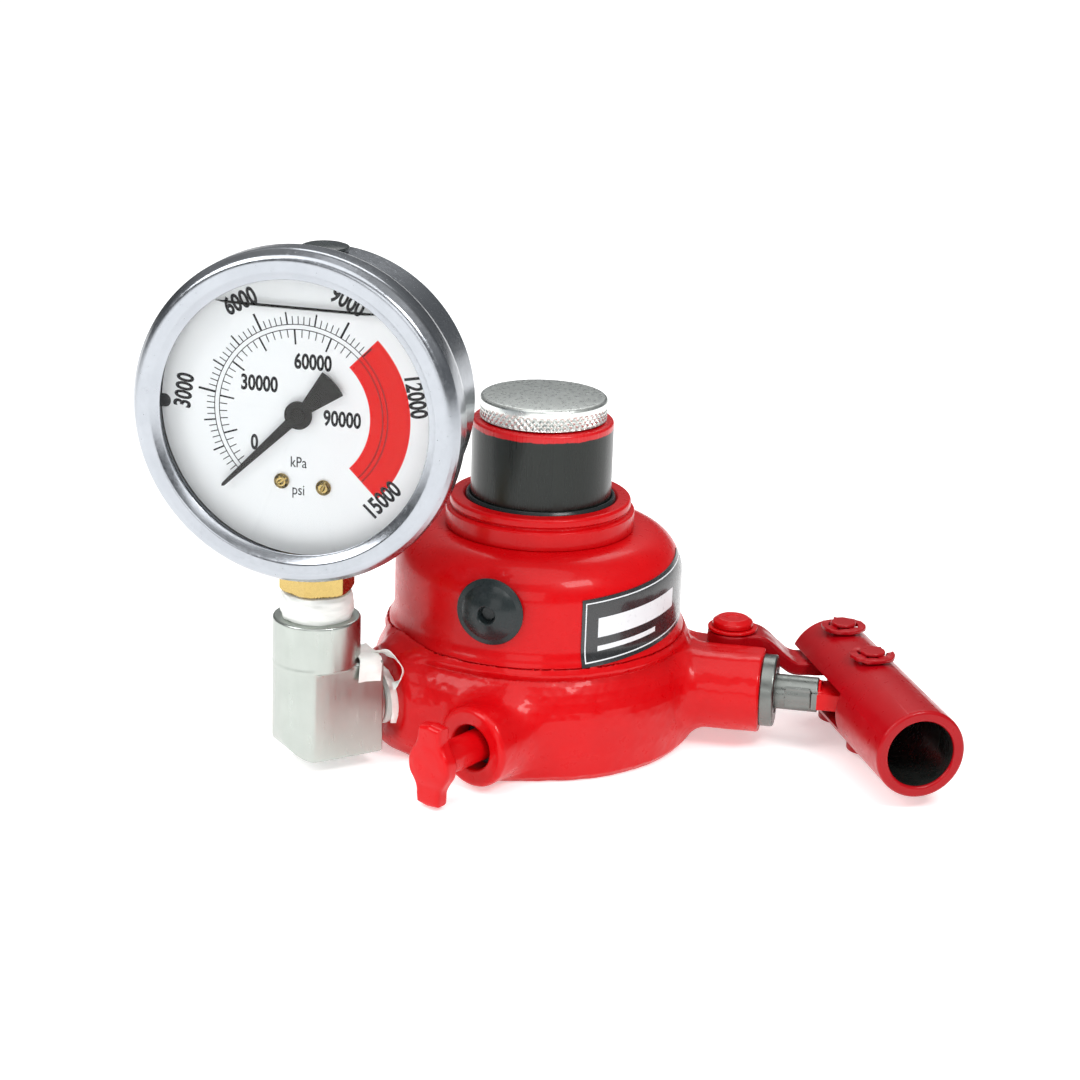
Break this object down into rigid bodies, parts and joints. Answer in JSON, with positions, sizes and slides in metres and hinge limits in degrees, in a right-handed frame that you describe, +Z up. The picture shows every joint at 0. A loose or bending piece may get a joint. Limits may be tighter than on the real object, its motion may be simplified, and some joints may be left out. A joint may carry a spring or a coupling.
{
  "type": "hydraulic bottle jack with side pump and pressure gauge",
  "caption": "Short red hydraulic bottle jack: stubby ram with screw saddle, side pump with swinging handle socket, T-knob release valve, and a large dial gauge on an elbow.",
  "frame": {"origin": "on the ram's axis, at the underside of the base", "axes": "+Z up along the ram; the mouth of the handle socket points along -Y at rest, and the pump lies to +X"},
  "size_m": [0.2713, 0.1587, 0.1865],
  "materials": {
    "red_paint": "gloss red enamel over cast and forged steel",
    "black_oxide": "ground steel, black oxide",
    "bright_zinc": "bright zinc plate",
    "bare_steel": "machined steel",
    "polished_steel": "polished stainless steel",
    "brass": "machined brass",
    "bronze": "bronze",
    "black_rubber": "moulded rubber",
    "seal_plastic": "cast polyurethane",
    "white_tape": "thread-seal tape",
    "dial_white": "white enamel on aluminium",
    "black_print": "black vinyl with a plain printed pattern",
    "pointer_black": "satin black enamel",
    "clear_window": "clear flat glass"
  },
  "bodies": {
    "base": {"base_casting": "red_paint", "reservoir_housing": "red_paint", "base_gasket": "black_rubber", "name_plate": "black_print", "cylinder_washer": "bronze", "pressure_cylinder": "bare_steel", "top_nut": "red_paint", "ram_o_ring": "black_rubber", "wiper_seal": "black_rubber", "pump_cylinder": "bare_steel", "plunger_seal": "seal_plastic", "plunger_wiper": "black_rubber", "inlet_spring": "bare_steel", "outlet_spring": "bare_steel", "outlet_plug": "brass", "inlet_filter": "brass", "link_bolt": "red_paint", "link_washer": "red_paint", "release_ball": "bare_steel", "elbow": "bright_zinc", "port_tape": "white_tape", "gauge_stem": "brass", "stem_tape": "white_tape", "bourdon_tube": "bronze", "movement_back_plate": "brass", "movement_front_plate": "brass", "movement_pillar_1": "brass", "movement_pillar_2": "brass", "hairspring": "bronze", "dial": "dial_white", "dial_screw_1": "brass", "dial_screw_2": "brass", "gauge_case": "polished_steel", "window_gasket": "black_rubber", "window": "clear_window", "bezel": "polished_steel", "gauge_fill_plug": "black_rubber"},
    "ram": {"ram": "black_oxide", "piston_snap_ring": "bare_steel", "piston_seal": "seal_plastic", "piston_ring": "bronze"},
    "extension_screw": {"extension_screw": "bright_zinc"},
    "plunger": {"plunger": "bare_steel"},
    "handle_socket": {"handle_socket": "red_paint", "plunger_pin": "red_paint", "plunger_pin_clip": "red_paint", "link_pin": "red_paint", "link_pin_clip": "red_paint"},
    "link": {"link": "red_paint"},
    "release_valve": {"release_valve": "red_paint", "release_o_ring": "black_rubber"},
    "filler_plug": {"filler_plug": "black_rubber"},
    "inlet_ball": {"inlet_ball": "bare_steel"},
    "outlet_ball": {"outlet_ball": "bare_steel"},
    "pointer": {"pointer": "pointer_black", "pinion_arbor": "bare_steel"},
    "sector_gear": {"sector_gear": "brass"},
    "tip_link": {"tip_link": "bare_steel"}
  },
  "joints": [
    {"name": "ram_lift", "type": "slide", "parent": "base", "child": "ram", "axis": [0, 0, 1], "range_m": [0, 0.037]},
    {"name": "screw_extend", "type": "slide", "parent": "ram", "child": "extension_screw", "axis": [0, 0, 1], "range_m": [0, 0.022]},
    {"name": "plunger_stroke", "type": "slide", "parent": "base", "child": "plunger", "axis": [0.9135, -0.4067, 0], "range_m": [-0.011, 0.0078]},
    {"name": "handle_swing", "type": "hinge", "parent": "plunger", "child": "handle_socket", "pos_m": [0.11054, -0.04922, 0.021], "axis": [0, 0, 1], "range_deg": [-20, 14]},
    {"name": "link_swing", "type": "hinge", "parent": "base", "child": "link", "pos_m": [0.0704, -0.01252, 0.034], "axis": [0, 0, 1], "range_deg": [-4, 5.6]},
    {"name": "release_turn", "type": "hinge", "parent": "base", "child": "release_valve", "pos_m": [-0.03627, -0.05867, 0.0157], "axis": [-0.788, -0.6157, 0], "range_deg": [0, 360]},
    {"name": "filler_plug_pull", "type": "slide", "parent": "base", "child": "filler_plug", "axis": [-0.5225, -0.8526, 0], "range_m": [0, 0.02]},
    {"name": "inlet_ball_lift", "type": "slide", "parent": "base", "child": "inlet_ball", "axis": [0, 0, -1], "range_m": [0, 0.001], "deforming": ["inlet_spring"]},
    {"name": "outlet_ball_lift", "type": "slide", "parent": "base", "child": "outlet_ball", "axis": [0, 0, -1], "range_m": [0, 0.001], "deforming": ["outlet_spring"]},
    {"name": "pointer_turn", "type": "hinge", "parent": "base", "child": "pointer", "pos_m": [-0.0909, -0.03962, 0.1305], "axis": [0.4617, 0.887, 0], "range_deg": [0, 270]},
    {"name": "sector_turn", "type": "hinge", "parent": "base", "child": "sector_gear", "pos_m": [-0.09305, -0.02385, 0.13969], "axis": [0.4617, 0.887, 0], "range_deg": [-50, 0]},
    {"name": "tip_link_pull", "type": "slide", "parent": "base", "child": "tip_link", "axis": [-0.5702, 0.2968, -0.766], "range_m": [0, 0.0034]}
  ],
  "couplings": [
    {"joint": "plunger_stroke", "follows": "handle_swing", "m_per_rad": 0.03067},
    {"joint": "link_swing", "follows": "handle_swing", "ratio": -0.2716},
    {"joint": "sector_turn", "follows": "pointer_turn", "ratio": -0.1818},
    {"joint": "tip_link_pull", "follows": "pointer_turn", "m_per_rad": 0.0007}
  ]
}
